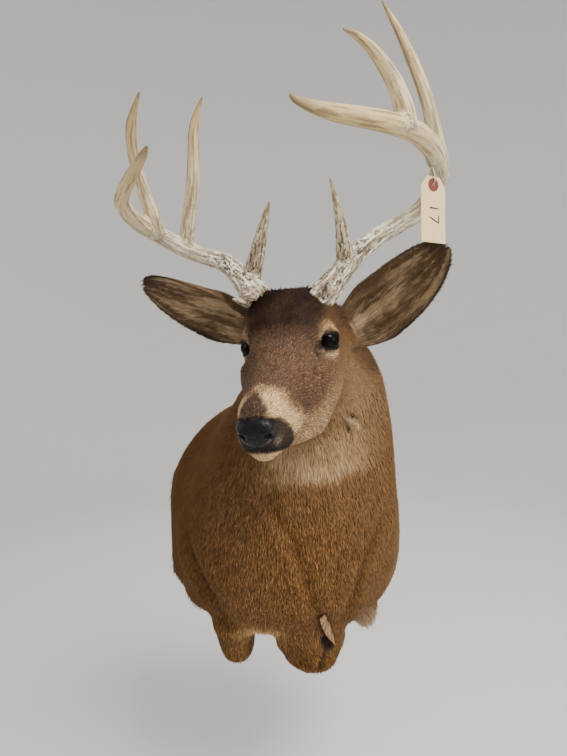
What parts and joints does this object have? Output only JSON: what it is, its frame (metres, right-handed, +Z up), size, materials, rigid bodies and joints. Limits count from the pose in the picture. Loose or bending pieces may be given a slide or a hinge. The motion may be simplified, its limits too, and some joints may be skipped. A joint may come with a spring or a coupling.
{
  "type": "deer shoulder mount",
  "caption": "Life-size whitetail buck shoulder mount with antlers, turned slightly to its right, with a card tag tied to one antler and a keyhole hanger on the back.",
  "frame": {"origin": "the middle of the back board's back face, which lies on the wall", "axes": "+Y into the wall, so the deer looks along -Y; +X to the deer's own left, which is the viewer's right; +Z up"},
  "size_m": [0.4314, 0.5387, 0.9073],
  "materials": {
    "hide": "short warm brown hair, greyer on the face, cream round the eyes, muzzle and throat",
    "ear": "short tan hair, cream inside with a dark rim",
    "nose": "moist black, finely pebbled",
    "eye": "polished dark brown glass",
    "antler": "bare antler, grey-white with brown stain at the bases",
    "board": "plain plywood",
    "hanger": "zinc plated",
    "card": "plain manila card",
    "patch": "reddish brown fibre",
    "string": "soft twisted cotton"
  },
  "bodies": {
    "root": {"trunk": "hide", "foreleg_stub_right": "hide", "foreleg_stub_left": "hide", "hide_flap_left": "hide", "neck": "hide", "head": "hide", "nose_pad": "nose", "eye_left": "eye", "ear_left": "ear", "antler_beam_left": "antler", "antler_g1_left": "antler", "antler_g2_left": "antler", "antler_g3_left": "antler", "eye_right": "eye", "ear_right": "ear", "antler_beam_right": "antler", "antler_g1_right": "antler", "antler_g2_right": "antler", "antler_g3_right": "antler", "back_board": "board", "hanger_plate": "hanger", "tag_card": "card", "tag_patch": "patch", "tag_string": "string", "string_knot": "string"}
  },
  "joints": []
}
